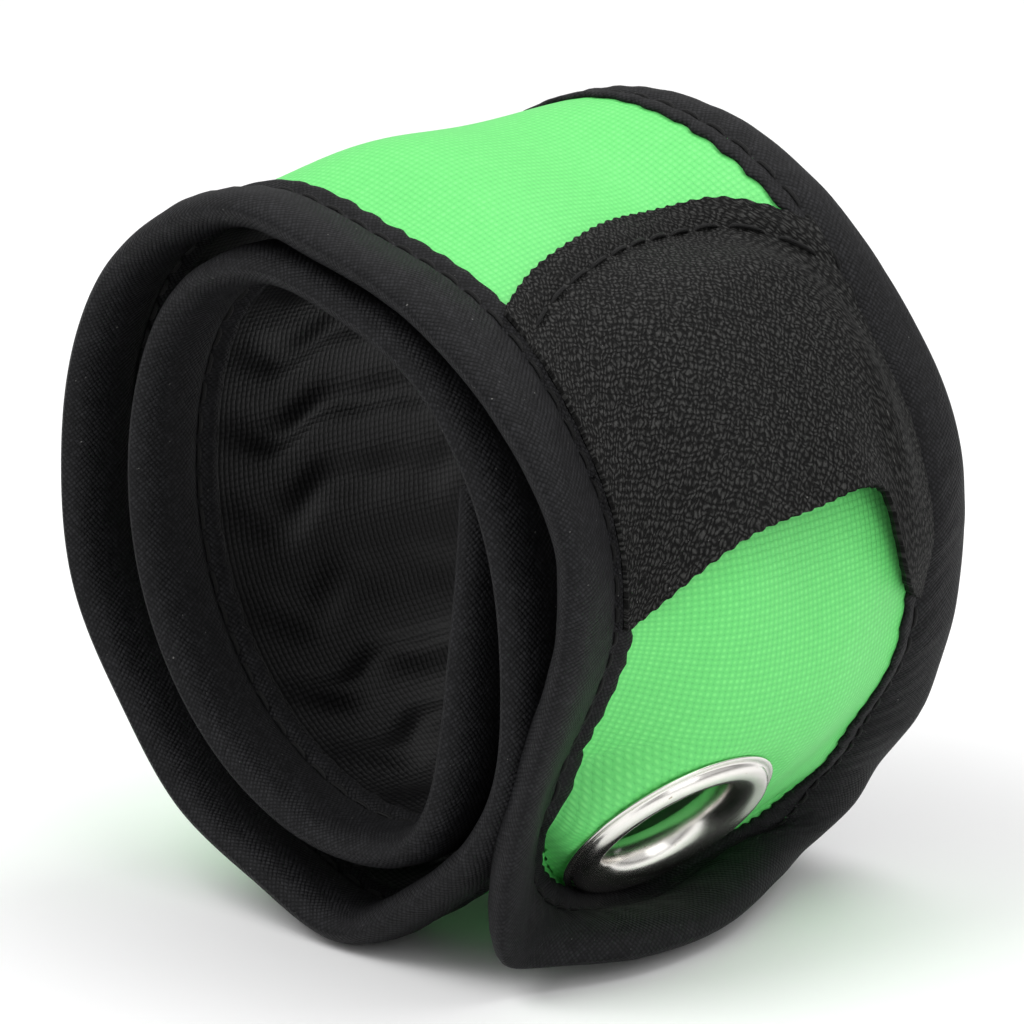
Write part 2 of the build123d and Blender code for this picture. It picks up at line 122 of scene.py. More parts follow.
# How far the binding's inner edges lie from that curve on the front and top rows: left, then right.
SELVEDGES = [
    (-2.8, -0.4, 0.4, 0.0),
    (-2.8, -0.7, 0.1, 0.0),
    (-2.3, -1.0, 0.1, 0.0),
    (-1.5, -1.1, 0.0, 0.1),
    (-0.6, -0.9, 0.8, 1.5),
    (-0.4, -1.2, 0.8, 2.5),
    (-0.2, -2.0, 0.2, 2.2),
    (0.0, -1.6, 0.0, 0.8),
    (0.0, -0.5, 0.0, 0.0),
]


def spline(knots, values, at):
    """Natural cubic spline through values at the knots, along the first axis."""
    n = len(knots)
    gap = np.diff(knots)
    flat = values.reshape(n, -1)
    slope = np.diff(flat, axis=0) / gap[:, None]
    matrix = np.eye(n)
    right = np.zeros_like(flat)
    for i in range(1, n - 1):
        matrix[i, i - 1:i + 2] = gap[i - 1], 2 * (gap[i - 1] + gap[i]), gap[i]
        right[i] = 6 * (slope[i] - slope[i - 1])
    bend = np.linalg.solve(matrix, right)
    at = np.asarray(at, float)
    i = np.clip(np.searchsorted(knots, at) - 1, 0, n - 2)
    h = gap[i][:, None]
    a = (knots[i + 1] - at)[:, None] / h
    b = 1 - a
    result = a * flat[i] + b * flat[i + 1]
    result += ((a ** 3 - a) * bend[i] + (b ** 3 - b) * bend[i + 1]) * h ** 2 / 6
    return result.reshape((len(at),) + values.shape[1:])


def control_rows():
    """Every row of the strap's control net as 3-D points, one for each column."""
    rows = []
    for flap_row in FLAP_ROWS:
        rows.append([(x, v, z) for (x, z), v in zip(flap_row, COLUMNS)])
    for i, (x, z, left_x, left_z, right_x, right_z) in enumerate(ROLL_ROWS):
        row = []
        for v in COLUMNS:
            share = (v / HALF_WIDTH) ** 2
            dx, dz = (left_x, left_z) if v < 0 else (right_x, right_z)
            row.append([x + share * dx, v, z + share * dz])
        if i < len(SELVEDGES):
            for column, (dx, dz) in ((1, SELVEDGES[i][:2]), (5, SELVEDGES[i][2:])):
                row[column][0] += dx
                row[column][2] += dz
        rows.append(row)
    rows = np.array(rows, float)
    rows[-3:, :, 1] += np.array(INNER_DRIFT)[:, None]
    return rows


ROWS = control_rows()
ROW_S = np.concatenate([[0], np.cumsum(np.linalg.norm(np.diff(ROWS[:, 3], axis=0), axis=1))])
LENGTH = ROW_S[-1]


def smooth(start, end, x):
    """0 at start, 1 at end, and an easy curve between."""
    t = np.clip((np.asarray(x, float) - start) / (end - start), 0, 1)
    return t * t * (3 - 2 * t)


def surface(s, v):
    """Points of the middle surface, pressed flat round the eyelet."""
    columns = spline(ROW_S, ROWS, s)
    weights = spline(COLUMNS, np.eye(len(COLUMNS)), v)  # of the columns, at each v
    points = np.einsum("ij,ijk->ik", weights, columns)
    press = smooth(SEAT_FADE, SEAT_RADIUS, np.hypot(s - EYELET_S, v - EYELET_V))
    off = (points - EYELET_CENTRE) @ EYELET_NORMAL
    return points - (press * off)[:, None] * EYELET_NORMAL


def across(a, b):
    """Unit vectors square to both a and b."""
    c = np.cross(a, b)
    return c / np.maximum(np.linalg.norm(c, axis=-1, keepdims=True), 1e-9)


def place(s, v, height):
    """Points at a height over the strap's middle surface, for arrays that broadcast to one shape."""
    s, v, height = np.broadcast_arrays(*[np.asarray(x, float) for x in (s, v, height)])
    shape = s.shape
    s, v, height = s.ravel(), v.ravel(), height.ravel()
    step = 0.25
    along = surface(s + step, v) - surface(s - step, v)
    over = surface(s, v + step) - surface(s, v - step)
    points = surface(s, v) + height[:, None] * across(over, along)
    return points.reshape(shape + (3,))


# ---------------------------------------------------------------- where the strap is cut and bends
FLAP_END = 60.0  # where along the strap the flap ends
PANEL_END = 96.0  # and the panel, past which the roll is
STITCH_PITCH = 2.9
STITCH_LENGTH = 2.2
SEAM_IN = 7.0  # the seam row's distance from the folded edge


def waves(x, seed):
    """A smooth uneven line round 0, repeatable, whose bumps are about 3 long."""
    x = np.asarray(x, float)
    return (np.sin(1.7 * x + seed) + 0.7 * np.sin(2.9 * x + 2.3 * seed)
            + 0.5 * np.sin(4.7 * x + 4.1 * seed)) / 2.2


def to_frame(points):
    """Drawing millimetres to the frame's metres."""
    return (np.asarray(points, float) + (DRAWING_SHIFT_X, 0, 0)) / 1000


def outward(points, closed):
    """Unit normals of a grid of points. The second direction may be a closed loop."""
    along = np.gradient(points, axis=0)
    if closed:
        over = np.roll(points, -1, axis=1) - np.roll(points, 1, axis=1)
    else:
        over = np.gradient(points, axis=1)
    return across(over, along)


def build(name, points, faces, weave, normals, material):
    """A smooth mesh with its own normals, and each point's flat place in millimetres as its UV."""
    used, index = np.unique(np.concatenate([np.ravel(f) for f in faces]), return_inverse=True)
    cuts = np.cumsum([len(f) for f in faces])[:-1]
    faces = [part.tolist() for part in np.split(index, cuts)]
    mesh = bpy.data.meshes.new(name)
    mesh.from_pydata(to_frame(points[used]).tolist(), [], faces)
    mesh.polygons.foreach_set("use_smooth", [True] * len(faces))
    flat = mesh.uv_layers.new(name="weave")
    flat.data.foreach_set("uv", weave[used][index].ravel())
    mesh.materials.append(material)
    mesh.update()
    mesh.normals_split_custom_set_from_vertices(normals[used].tolist())
    piece = bpy.data.objects.new(name, mesh)
    bpy.context.scene.collection.objects.link(piece)
    return piece


def quads(rows, columns, closed, ring=False):
    """The faces of a grid of points, turned so that outward() points out of them.

    In a closed grid the last column joins the first one, and in a ring the last row joins the first."""
    last_row = rows if ring else rows - 1
    last_column = columns if closed else columns - 1
    i, j = np.meshgrid(np.arange(last_row), np.arange(last_column), indexing="ij")
    next_i, next_j = (i + 1) % rows, (j + 1) % columns
    corners = [(i, j), (i, next_j), (next_i, next_j), (next_i, j)]
    return np.stack([a * columns + b for a, b in corners], axis=-1).reshape(-1, 4)


def thick_faces(upper, count):
    """The faces of a closed sheet whose lower points come count places after its upper ones."""
    heads, tails = upper, np.roll(upper, -1, axis=1)
    single = ~np.isin(heads * count + tails, tails * count + heads)
    heads, tails = heads[single], tails[single]
    walls = np.stack([tails, heads, heads + count, tails + count], axis=1)
    return list(np.concatenate([upper, upper[:, ::-1] + count, walls]))


def tube(name, points, normals, weave, material):
    """A closed section swept along a line: points has one row for each section."""
    rows, columns = points.shape[:2]
    faces = list(quads(rows, columns, True))
    faces.append(np.arange(columns)[::-1])
    faces.append(np.arange(columns) + (rows - 1) * columns)
    return build(name, points.reshape(-1, 3), faces, weave.reshape(-1, 2),
                 normals.reshape(-1, 3), material)


def slab(name, s, v, top, bottom, material, keep=None):
    """A closed layer over a grid of the strap, between two heights given as functions of s and v.

    Keep says which points of the grid have cloth, where not all of them do."""
    def at(height, ds, dv):
        return place(s + ds, v + dv, height(s + ds, v + dv))

    step = 0.2
    points, normals = [], []
    for height, out in ((top, 1), (bottom, -1)):
        points.append(at(height, 0, 0).reshape(-1, 3))
        way = across(at(height, 0, step) - at(height, 0, -step),
                     at(height, step, 0) - at(height, -step, 0))
        normals.append(out * way.reshape(-1, 3))
    upper = quads(*s.shape, False)
    if keep is not None:
        upper = upper[keep.ravel()[upper].all(axis=1)]
    weave = np.tile(np.stack([s.ravel(), v.ravel()], axis=1), (2, 1))
    return build(name, np.concatenate(points), thick_faces(upper, s.size), weave,
                 np.concatenate(normals), material)


# ---------------------------------------------------------------- materials
class Shader:
    """A procedural material, with short calls for its nodes. A value is a socket or a number."""

    def __init__(self, name, roughness, metallic=0.0, specular=0.5, sheen=0.0):
        self.material = bpy.data.materials.new(name)
        self.material.use_nodes = True
        self.tree = self.material.node_tree
        self.bsdf = self.tree.nodes["Principled BSDF"]
        self.bsdf.inputs["Roughness"].default_value = roughness
        self.bsdf.inputs["Metallic"].default_value = metallic
        self.bsdf.inputs["Specular IOR Level"].default_value = specular
        self.bsdf.inputs["Sheen Weight"].default_value = sheen

    def put(self, value, socket):
        if isinstance(value, bpy.types.NodeSocket):
            self.tree.links.new(value, socket)
        else:
            socket.default_value = value

    def node(self, kind, **settings):
        node = self.tree.nodes.new("ShaderNode" + kind)
        for key, value in settings.items():
            setattr(node, key, value)
        return node

    def math(self, operation, a, b=0.0):
        node = self.node("Math", operation=operation)
        self.put(a, node.inputs[0])
        self.put(b, node.inputs[1])
        return node.outputs[0]

    def flat(self, scale=1.0, turn=0.0):
        """The flat place in millimetres times scale, as two sockets."""
        place_on = self.node("UVMap", uv_map="weave")
        turned = self.node("VectorRotate", rotation_type="Z_AXIS")
        self.put(place_on.outputs[0], turned.inputs["Vector"])
        turned.inputs["Angle"].default_value = turn
        parts = self.node("SeparateXYZ")
        self.put(turned.outputs[0], parts.inputs[0])
        return [self.math("MULTIPLY", parts.outputs[k], scale) for k in (0, 1)]

    def noise(self, scale, detail=3.0, stretch=(1.0, 1.0, 1.0), roughness=0.55):
        """Noise on the flat place, with scale bumps for each millimetre."""
        place_on = self.node("UVMap", uv_map="weave")
        sized = self.node("Mapping")
        sized.inputs["Scale"].default_value = stretch
        self.put(place_on.outputs[0], sized.inputs["Vector"])
        texture = self.node("TexNoise")
        texture.inputs["Scale"].default_value = scale
        texture.inputs["Detail"].default_value = detail
        texture.inputs["Roughness"].default_value = roughness
        self.put(sized.outputs[0], texture.inputs["Vector"])
        return texture.outputs[0]

    def ramp(self, value, stops):
        """Colours between stops of (place, grey or colour)."""
        node = self.node("ValToRGB")
        stops = [(at, (c, c, c) if isinstance(c, float) else c) for at, c in stops]
        node.color_ramp.elements[0].position, node.color_ramp.elements[1].position = 0.0, 1.0
        while len(node.color_ramp.elements) < len(stops):
            node.color_ramp.elements.new(0.5)
        for element, (at, colour) in zip(node.color_ramp.elements, stops):
            element.position = at
            element.color = (*colour, 1.0)
        self.put(value, node.inputs[0])
        return node.outputs[0]

    def mix(self, kind, share, a, b):
        node = self.node("Mix", data_type="RGBA", blend_type=kind)
        for value, socket in ((share, node.inputs[0]), (a, node.inputs[6]), (b, node.inputs[7])):
            if isinstance(value, tuple):
                value = (*value, 1.0)
            self.put(value, socket)
        return node.outputs[2]

    def bump(self, height, distance, strength=1.0, after=None):
        node = self.node("Bump")
        node.inputs["Strength"].default_value = strength
        node.inputs["Distance"].default_value = distance / 1000
        self.put(height, node.inputs["Height"])
        if after is not None:
            self.put(after, node.inputs["Normal"])
        return node.outputs[0]

    def plain_weave(self, pitch, turn=0.0, wander=0.0):
        """The height, 0 to 1, of a plain weave of round yarns, and a random number for each crossing.

        Wander is how many yarns off line the weave may go."""
        u, v = self.flat(1 / pitch, turn)
        if wander:
            u = self.math("ADD", u, self.math("MULTIPLY", self.noise(0.9, 3.0), wander))
            v = self.math("ADD", v, self.math("MULTIPLY", self.noise(0.8, 3.0), wander))
        heights = []
        for yarn, other, start in ((u, v, 0.0), (v, u, 1.0)):
            offset = self.math("SUBTRACT", self.math("FRACT", yarn), 0.5)
            round_yarn = self.math("SUBTRACT", 1.0, self.math("MULTIPLY", 3.2, self.math(
                "MULTIPLY", offset, offset)))
            phase = self.math("ADD", self.math("ADD", other, start), self.math("FLOOR", yarn))
            rise = self.math("SINE", self.math("MULTIPLY", phase, pi))
            rise = self.math("ADD", 0.5, self.math("MULTIPLY", rise, 0.5))
            heights.append(self.math("MULTIPLY", round_yarn, rise))
        cell = self.node("CombineXYZ")
        self.put(self.math("FLOOR", u), cell.inputs[0])
        self.put(self.math("FLOOR", v), cell.inputs[1])
        chance = self.node("TexWhiteNoise", noise_dimensions="2D")
        self.put(cell.outputs[0], chance.inputs["Vector"])
        return self.math("MAXIMUM", *heights), chance.outputs[0]

    def finish(self, colour, normal, roughness=None):
        self.put(colour, self.bsdf.inputs["Base Color"])
        self.put(normal, self.bsdf.inputs["Normal"])
        if roughness is not None:
            self.put(roughness, self.bsdf.inputs["Roughness"])
        return self.material


def oxford(name, dark, mid, light, roughness, specular, sheen):
    """Coarse plain-weave cloth of bulky yarns, 0.57 mm apart, with painted shade between the yarns and
    painted highlights on their crowns.
    """
    cloth = Shader(name, roughness, specular=specular, sheen=sheen)
    height, chance = cloth.plain_weave(0.57, wander=0.3)
    painted_shade_and_tone = cloth.math("MULTIPLY_ADD", height, 0.72)
    painted_shade_and_tone.node.inputs[2].default_value = 0.08
    painted_shade_and_tone = cloth.math("ADD", painted_shade_and_tone, cloth.math("MULTIPLY", chance, 0.11))
    painted_shade_and_tone = cloth.math("ADD", painted_shade_and_tone, cloth.math("MULTIPLY", cloth.noise(0.22, 4.0), 0.12))
    # The dark stop falls in the gaps between yarns as painted shade, and the light stop on the yarns' crowns
    # as a painted highlight; chance and noise add the yarns' own uneven tone.
    colour = cloth.ramp(painted_shade_and_tone, [(0.12, dark), (0.5, mid), (0.72, mid), (0.96, light)])
    fine = cloth.bump(cloth.noise(9.0, 2.0), 0.02, 0.5)
    uneven = cloth.math("ADD", height, cloth.math("MULTIPLY", chance, 0.18))
    normal = cloth.bump(uneven, 0.09, 0.5, fine)
    return cloth.finish(colour, normal)


def lint(cloth, colour, normal):
    """Adds the few pale specks of dust that black cloth always carries."""
    specks = cloth.ramp(cloth.noise(2.4, 1.0), [(0.0, 0.0), (0.775, 0.0), (0.79, 0.55), (1.0, 0.55)])
    return cloth.finish(cloth.mix("MIX", specks, colour, (0.22, 0.22, 0.21)), normal)


green = oxford("cover_oxford", (0.085, 0.51, 0.115), (0.14, 0.69, 0.17), (0.20, 0.80, 0.22),
               0.5, 0.35, 0.0)
# The lining's colours are far darker than the binding's black: partly the cloth's own black, partly painted
# shade for the inside of the roll.
black_lining = oxford("lining_oxford", (0.0004, 0.0004, 0.0005), (0.0014, 0.0014, 0.0017),
                      (0.010, 0.010, 0.011), 0.42, 0.2, 0.0)

tape = Shader("binding_twill", 0.6, specular=0.16)
ribs, chance = tape.plain_weave(0.36, radians(38), 0.8)
twill = tape.math("SINE", tape.math("MULTIPLY", tape.flat(1.0, radians(32))[0], 2 * pi / 0.42))
# The colour follows the ribs' height, darker between the yarns as painted shade and lighter on their crowns
# as a painted highlight; chance and noise are the tape's own uneven tone.
painted_shade_and_tone = tape.math("ADD", tape.math("MULTIPLY", ribs, 0.5), tape.math("MULTIPLY", chance, 0.2))
painted_shade_and_tone = tape.math("ADD", painted_shade_and_tone, tape.math("MULTIPLY", tape.noise(0.5, 5.0), 0.3))
tape_colour = tape.ramp(painted_shade_and_tone, [(0.1, (0.0016, 0.0016, 0.0019)), (0.55, (0.0052, 0.0052, 0.0060)),
                               (1.0, (0.028, 0.028, 0.031))])
tape_normal = tape.bump(twill, 0.02, 0.35, tape.bump(ribs, 0.08, 0.9))
black_tape = lint(tape, tape_colour, tape_normal)

knit = Shader("elastic_knit", 0.75, specular=0.14)
loops, chance = knit.plain_weave(0.45, radians(42), 3.2)
fuzz = knit.noise(2.6, 4.0, (0.7, 1.3, 1.0), 0.7)
# The colour partly follows the loops' height, darker between them as painted shade and lighter on them as a
# painted highlight; the fuzz is the knit's own flecked tone.
painted_shade_and_tone = knit.math("ADD", knit.math("MULTIPLY", loops, 0.45), knit.math("MULTIPLY", fuzz, 0.75))
knit_colour = knit.ramp(painted_shade_and_tone, [(0.3, (0.0012, 0.0012, 0.0012)), (0.62, (0.0048, 0.0048, 0.0046)),
                               (0.9, (0.055, 0.055, 0.053))])
knit_normal = knit.bump(loops, 0.14, 0.9, knit.bump(fuzz, 0.16, 0.8))
black_knit = lint(knit, knit_colour, knit_normal)

yarn = Shader("seam_thread", 0.5, specular=0.25)
twist = yarn.math("SINE", yarn.math("MULTIPLY", yarn.flat(1.0, radians(50))[0], 2 * pi / 0.2))
black_thread = yarn.finish(
    yarn.ramp(yarn.noise(3.0), [(0.2, 0.002), (0.9, 0.008)]), yarn.bump(twist, 0.02, 0.6))

filler = Shader("foam_core", 0.9, specular=0.2)
black_foam = filler.finish(filler.ramp(filler.noise(2.0), [(0.2, 0.01), (0.9, 0.03)]),
                           filler.bump(filler.noise(6.0), 0.1, 0.5))

metal = Shader("nickel", 0.2, metallic=1.0)
scratch = metal.noise(1.2, 6.0, (1.0, 8.0, 1.0), 0.7)
pits = metal.ramp(metal.noise(1.6, 2.0), [(0.0, 0.0), (0.70, 0.0), (0.74, 1.0), (1.0, 1.0)])
nickel = metal.finish(
    metal.mix("MIX", pits, metal.ramp(metal.noise(0.3), [(0.2, (0.78, 0.75, 0.72)),
                                                         (0.8, (0.88, 0.86, 0.82))]),
              (0.38, 0.30, 0.22)),
    metal.bump(scratch, 0.008, 0.35),
    metal.ramp(scratch, [(0.2, 0.15), (0.8, 0.28)]))

card = Shader("insert_board", 0.55, specular=0.4)
grain = card.noise(1.5, 5.0)
insert_board = card.finish(card.ramp(grain, [(0.2, (0.03, 0.03, 0.033)), (0.8, (0.06, 0.06, 0.065))]),
                           card.bump(grain, 0.05, 0.5))


# ---------------------------------------------------------------- riding: the roll's pieces ride the roll's body, the flap's and panel's are only baked in place
def on_flap(piece):
    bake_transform(piece)
    return piece


def on_panel(piece):
    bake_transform(piece)
    return piece


def on_roll(piece):
    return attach(piece, "roll")


STRETCHES = (("flap", 0.0, FLAP_END, on_flap), ("panel", FLAP_END, PANEL_END, on_panel),
             ("roll", PANEL_END, LENGTH, on_roll))


# ---------------------------------------------------------------- cover, core and lining
EDGE_INSET = 0.8  # from the binding's outside to the layers' edge
HOLE_RADIUS = 7.5  # of the cloth's own hole, under the metal
HOLE_MARGIN = (0.45, 0.3)  # points this far inside and outside the hole's edge move onto it
GRID = 0.8  # between the points of the layers' grid
COLUMN_COUNT = 67
COVER_FACE, COVER_BACK, CORE_BACK, LINING_FACE = 0.85, 0.45, -0.4, -0.8
RIPPLE = 0.85  # depth of the lining's ripples
RIPPLE_LENGTH = 8.0


def half_width(s, inset):
    """Half the strap's flat width at s, less the inset, round the eyelet end's corners."""
    corner = END_RADIUS - inset
    reach = np.clip(END_RADIUS - s, 0, corner)
    return HALF_WIDTH - END_RADIUS + np.sqrt(corner ** 2 - reach ** 2)


def level(height):
    """A layer's face at one height all over."""
    return lambda s, v: height + 0 * s


def lining_face(s, v):
    """The lining lies in soft cross ripples where the strap is rolled tight."""
    fade = smooth(17, 9, np.abs(v)) * smooth(92, 110, s)
    wander = 1.2 * waves(v / 7, 1.0) + 1.4 * waves(s / 20, 3.0)
    crest = 0.5 + 0.5 * np.sin(2 * pi * s / RIPPLE_LENGTH + wander)
    return LINING_FACE - RIPPLE * fade * crest ** 2 * (0.65 + 0.35 * waves(s / 9, 2.0))


LAYERS = (
    ("cover", level(COVER_FACE), level(COVER_BACK), green, "cover_fabric", "outer_fabric"),
    ("core", level(COVER_BACK), level(CORE_BACK), black_foam, "core_foam", "foam_core"),
    ("inner_cloth", level(CORE_BACK), lining_face, black_lining, "lining_fabric", "lining"))
for part, top, bottom, material, finish_slot, cad_name in LAYERS:
    for stretch, start, end, join in STRETCHES:
        rows = np.linspace(max(start, EDGE_INSET), min(end, LENGTH - EDGE_INSET),
                           round((end - start) / GRID) + 1)
        shares = np.linspace(-1, 1, COLUMN_COUNT)
        s = np.repeat(rows[:, None], COLUMN_COUNT, axis=1)
        v = half_width(rows, EDGE_INSET)[:, None] * shares
        keep = None
        if stretch == "flap":
            ds, dv = s - EYELET_S, v - EYELET_V
            reach = np.hypot(ds, dv)
            keep = reach > HOLE_RADIUS - HOLE_MARGIN[0]
            snap = np.where(keep & (reach < HOLE_RADIUS + HOLE_MARGIN[1]), HOLE_RADIUS / reach, 1.0)
            s, v = EYELET_S + ds * snap, EYELET_V + dv * snap
        piece = slab(f"{part}_{stretch}", s, v, top, bottom, material, keep)
        join(piece)
        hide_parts(f"{cad_name}_{stretch}")


# ---------------------------------------------------------------- binding
SIDE = LENGTH - END_RADIUS
ARC = pi / 2 * END_RADIUS
END_RUN = 2 * (HALF_WIDTH - END_RADIUS)
PATH = 2 * SIDE + 2 * ARC + END_RUN
# The tape's section on the green side, from its inner edge round to the fold: (distance in, height).
TAPE_SECTION = np.array([
    (8.9, 0.86), (9.05, 1.12), (8.75, 1.36), (8.2, 1.42), (7.6, 1.26), (7.2, 1.06), (7.0, 1.0),
    (6.8, 1.06), (6.3, 1.34), (5.6, 1.56), (4.6, 1.68), (3.4, 1.68), (2.3, 1.56), (1.4, 1.32),
    (0.75, 0.98), (0.25, 0.52), (0.0, 0.0)])
# And back round its inside, next to the cloth.
TAPE_INSIDE = np.array([(8.8, -0.82), (5.0, -0.82), (1.0, -0.82), (1.0, 0.86), (5.0, 0.87), (8.8, 0.86)])
SHOWN_POINTS = 2 * len(TAPE_SECTION) - 1
TAPE_GIRTH = np.concatenate([TAPE_SECTION, TAPE_SECTION[-2::-1] * (1, -1), TAPE_INSIDE])
END_REACH = 1.3  # how much further the tape reaches across the eyelet end
TAPE_STEP = 0.7


def outline(path, inward):
    """(s, v) at a distance along the strap's flat outline, and in from it."""
    before = path < PATH / 2
    path = np.minimum(path, PATH - path)
    turn = np.clip((path - SIDE) / END_RADIUS, 0, pi / 2)
    s = np.where(path < SIDE, LENGTH - path, END_RADIUS * (1 - np.sin(turn)))
    v = END_RADIUS - HALF_WIDTH - END_RADIUS * np.cos(turn)
    v = v + np.maximum(path - SIDE - ARC, 0)
    s = s + inward * np.sin(turn)
    v = v + inward * np.cos(turn)
    return s, np.where(before, v, -v)


def tape_surface(path):
    """Points of the binding for each path value, and their flat places.

    The thread pulls the tape in at each stitch, and the tape swells and wanders a little between."""
    inward = np.repeat(TAPE_GIRTH[None, :, 0], len(path), axis=0)
    height = np.repeat(TAPE_GIRTH[None, :, 1], len(path), axis=0)
    shown = np.arange(len(TAPE_GIRTH)) < SHOWN_POINTS
    p = path[:, None]
    side = np.sign(height)
    at_end = smooth(SIDE, SIDE + ARC, np.minimum(p, PATH - p))
    inward = inward + END_REACH * at_end * smooth(SEAM_IN, 8.8, inward)
    stitch = 0.5 + 0.5 * np.cos(2 * pi * p / STITCH_PITCH)
    pull = np.exp(-((inward - SEAM_IN) / 0.9) ** 2) * stitch
    pucker = np.exp(-((inward - 5.2) / 1.5) ** 2) * np.sin(2 * pi * (p / STITCH_PITCH + 0.22 * inward))
    swell = smooth(0.2, 2.5, inward) * smooth(7, 5, inward) * waves(p / 4, 5.0)
    height = height + shown * side * (-0.16 * pull + 0.07 * pucker + 0.1 * swell)
    selvedge = smooth(7.6, 8.9, inward) * shown
    inward = inward + selvedge * (0.16 * np.cos(2 * pi * p / STITCH_PITCH + 2.6)
                                  + 0.12 * waves(p * 1.1 + side, 7.0))
    s, v = outline(np.broadcast_to(p, inward.shape), inward)
    girth = np.cumsum(np.r_[0, np.linalg.norm(np.diff(TAPE_GIRTH, axis=0), axis=1)])
    weave = np.stack([np.broadcast_to(p, inward.shape), np.broadcast_to(girth, inward.shape)], -1)
    return place(s, v, height), weave


def stops(*breaks):
    """Path values about TAPE_STEP apart, which hit every break."""
    runs = [np.linspace(a, b, round((b - a) / TAPE_STEP) + 1)[:-1] for a, b in zip(breaks, breaks[1:])]
    return np.concatenate(runs + [[breaks[-1]]])


cuts = [0.0, LENGTH - PANEL_END, LENGTH - FLAP_END]
cuts += [PATH - cut for cut in reversed(cuts)]
path = stops(*cuts)
points, weave = tape_surface(path)
normals = outward(points, True)
TAPES = (("binding_left_roll", "roll", on_roll), ("binding_left_panel", "panel", on_panel),
         ("binding_flap", "flap", on_flap), ("binding_right_panel", "panel", on_panel),
         ("binding_right_roll", "roll", on_roll))
for (name, stretch, join), start, end in zip(TAPES, cuts, cuts[1:]):
    span = slice(int(np.argmin(abs(path - start))), int(np.argmin(abs(path - end))) + 1)
    piece = tube(name.replace("binding", "tape"), points[span], normals[span], weave[span], black_tape)
    join(piece)
    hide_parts(name)

# The inner end's own length of tape, between the two side ones.
INNER_TAPE_HALF = 16.2
across_end, inward = np.meshgrid(
    np.linspace(INNER_TAPE_HALF, -INNER_TAPE_HALF, 47), TAPE_GIRTH[:, 0], indexing="ij")
points = place(LENGTH - inward, across_end, np.broadcast_to(TAPE_GIRTH[:, 1], inward.shape))
weave = np.stack([across_end, np.broadcast_to(np.arange(len(TAPE_GIRTH)) * 0.5, inward.shape)], -1)
inner_tape = on_roll(tube("tape_inner_end", points, outward(points, True), weave, black_tape))
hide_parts("binding_inner_end")


# ---------------------------------------------------------------- stitches
THREAD_RADIUS = 0.2
THREAD_RINGS = np.array([0.0, 0.04, 0.14, 0.32, 0.5, 0.68, 0.86, 0.96, 1.0])
THREAD_SIDES = 8
SEAM_HEIGHT = 0.98  # the tape's face at the bottom of its groove


def stitches(name, starts, lay, way, material):
    """Short arched lengths of thread. lay(along, aside, up) gives points round a seam's line.

    Way is 1 where those three directions are a right-handed set, and -1 where they aren't."""
    turn = way * np.arange(THREAD_SIDES) * 2 * pi / THREAD_SIDES
    ring = 2 * THREAD_RINGS - 1
    radius = THREAD_RADIUS * np.sqrt(1 - 0.96 * ring ** 8)
    arch = 0.16 - 0.34 * ring ** 4
    along = np.broadcast_to((starts[:, None] + THREAD_RINGS * STITCH_LENGTH)[:, :, None],
                            (len(starts), len(ring), THREAD_SIDES))
    aside = radius[None, :, None] * np.cos(turn) + 0 * along
    up = arch[None, :, None] + radius[None, :, None] * np.sin(turn) + 0 * along
    points = lay(along, aside, up)
    middle = points.mean(axis=2, keepdims=True)
    normals = points - middle
    normals = normals / np.maximum(np.linalg.norm(normals, axis=-1, keepdims=True), 1e-9)
    size = len(ring) * THREAD_SIDES
    one = quads(len(ring), THREAD_SIDES, True)
    caps = [np.arange(THREAD_SIDES)[::-1], np.arange(THREAD_SIDES) + size - THREAD_SIDES]
    faces = [face + k * size for k in range(len(starts)) for face in [*one, *caps]]
    weave = np.stack([along, aside * 8], -1).reshape(-1, 2)
    return build(name, points.reshape(-1, 3), faces, weave, normals.reshape(-1, 3), material)


def seam_line(face):
    """Points along the binding's seam row, on the green face (1) or the lining's (-1)."""
    def lay(along, aside, up):
        s, v = outline(along, SEAM_IN + aside)
        return place(s, v, face * (SEAM_HEIGHT + up))
    return lay


starts = np.arange(0.4, PATH - 3, STITCH_PITCH)
s_of = outline(starts + STITCH_LENGTH / 2, 0.0)[0]
for stretch, start, end, join in STRETCHES:
    mine = starts[(s_of >= start) & (s_of < end)]
    for face, side_name in ((1, "front"), (-1, "back")):
        piece = stitches(f"seam_{stretch}_{side_name}", mine, seam_line(face), face, black_thread)
        join(piece)
        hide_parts(f"seam_thread_{stretch}")


# ---------------------------------------------------------------- elastic pocket
# Across the elastic: v, the s of its sewn and free edges, and its middle's height over rest in the
# bulge and at the free edge.
ELASTIC = np.array([
    (-17.5, 76.0, 45.2, 0.0, 0.0),
    (-12.0, 78.8, 49.3, 0.5, 0.3),
    (-7.0, 80.2, 52.0, 1.5, 0.9),
    (0.0, 81.9, 53.0, 3.1, 2.6),
    (4.6, 82.3, 53.5, 4.0, 3.7),
    (8.0, 82.0, 53.1, 4.4, 2.9),
    (10.0, 81.4, 51.6, 4.3, 2.0),
    (12.0, 80.3, 46.9, 3.5, 1.1),
    (15.0, 77.3, 42.0, 1.1, 0.4),
    (17.5, 75.0, 40.0, 0.0, 0.0)])
ELASTIC_HALF = 0.45  # half its thickness
ELASTIC_REST = 1.32  # its middle's height where it lies on the cover
ELASTIC_REACH = 17.3  # how far it goes each way under the bindings
ELASTIC_LONG = 29.0  # from its sewn edge to its free one, as drawn
SEAM_SHARE = 0.108  # where its seam row is, of its length
SEAM_SINK = 0.3
LOOP = 0.62  # the knit's pitch
LOOP_HEIGHT = 0.18  # of half the thickness
SCALLOP, SCALLOP_LENGTH = 0.11, 1.2  # of its two edges


